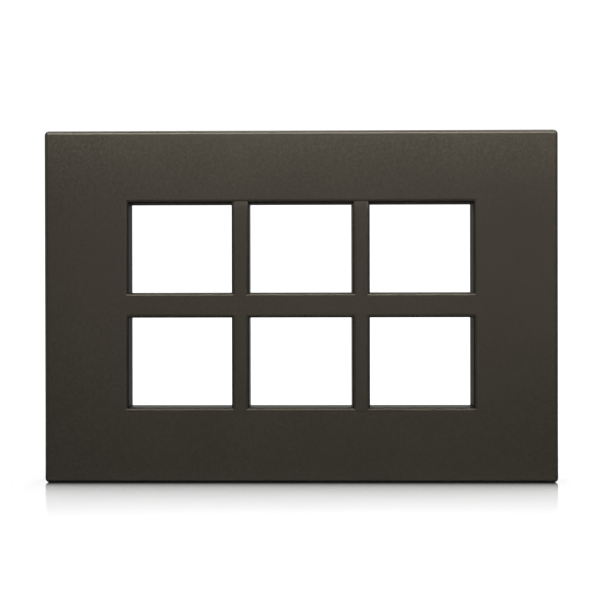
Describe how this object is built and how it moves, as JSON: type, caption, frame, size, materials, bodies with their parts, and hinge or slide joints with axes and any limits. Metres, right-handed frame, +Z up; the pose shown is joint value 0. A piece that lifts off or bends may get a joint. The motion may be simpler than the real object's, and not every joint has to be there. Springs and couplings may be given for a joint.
{
  "type": "switch cover plate",
  "caption": "Landscape clip-on cover plate for a wall switch grid: rectangular windows for switch modules, a skirt round the edge, and collars, ribs and snap hooks behind the face.",
  "frame": {"origin": "middle of the plate on the wall plane, where the skirt's rim meets the wall", "axes": "+X to the right seen from the front, +Z up, front face towards -Y, wall towards +Y"},
  "size_m": [0.22, 0.0105, 0.151],
  "materials": {
    "painted_plastic": "graphite metallic paint, satin, with a fine grain"
  },
  "bodies": {
    "root": {"cover_plate": "painted_plastic"}
  },
  "joints": []
}
